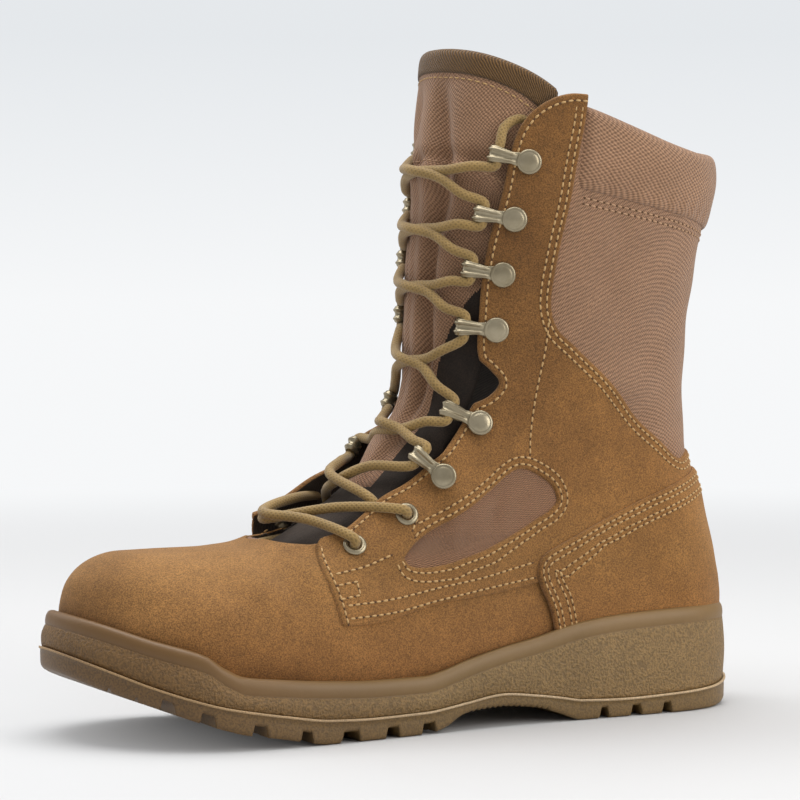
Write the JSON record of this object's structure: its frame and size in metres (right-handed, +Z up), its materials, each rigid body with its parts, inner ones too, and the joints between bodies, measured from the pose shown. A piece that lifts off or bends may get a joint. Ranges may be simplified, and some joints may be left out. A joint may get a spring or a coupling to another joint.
{
  "type": "combat boot",
  "caption": "Left lace-up combat boot in suede and woven nylon with padded collar, loop lace hooks, cup midsole and lugged rubber outsole.",
  "frame": {"origin": "on the ground under the middle of the heel, on the heel's flat tread", "axes": "+X towards the toe, +Y to the outer (lateral) side, +Z up"},
  "size_m": [0.311, 0.1093, 0.2818],
  "materials": {
    "suede": "napped tan suede leather",
    "nylon": "matt woven nylon, pinkish tan",
    "polyurethane": "stippled polyurethane with a smooth rolled lip",
    "rubber": "matt olive tan moulded rubber",
    "foam": "cloth covered foam footbed",
    "metal": "satin painted, olive grey",
    "braid": "round braided nylon cord, khaki gold"
  },
  "bodies": {
    "root": {"outsole": "rubber", "midsole": "polyurethane", "insole": "foam", "upper": "suede", "heel_counter": "suede", "collar": "nylon", "tongue": "nylon", "lace_hook_lateral_1": "metal", "lace_hook_lateral_2": "metal", "lace_hook_lateral_3": "metal", "lace_hook_lateral_4": "metal", "lace_hook_lateral_5": "metal", "lace_hook_lateral_6": "metal", "eyelet_lateral_1": "metal", "eyelet_lateral_2": "metal", "lace_hook_medial_1": "metal", "lace_hook_medial_2": "metal", "lace_hook_medial_3": "metal", "lace_hook_medial_4": "metal", "lace_hook_medial_5": "metal", "lace_hook_medial_6": "metal", "eyelet_medial_1": "metal", "eyelet_medial_2": "metal", "laces": "braid"}
  },
  "joints": []
}
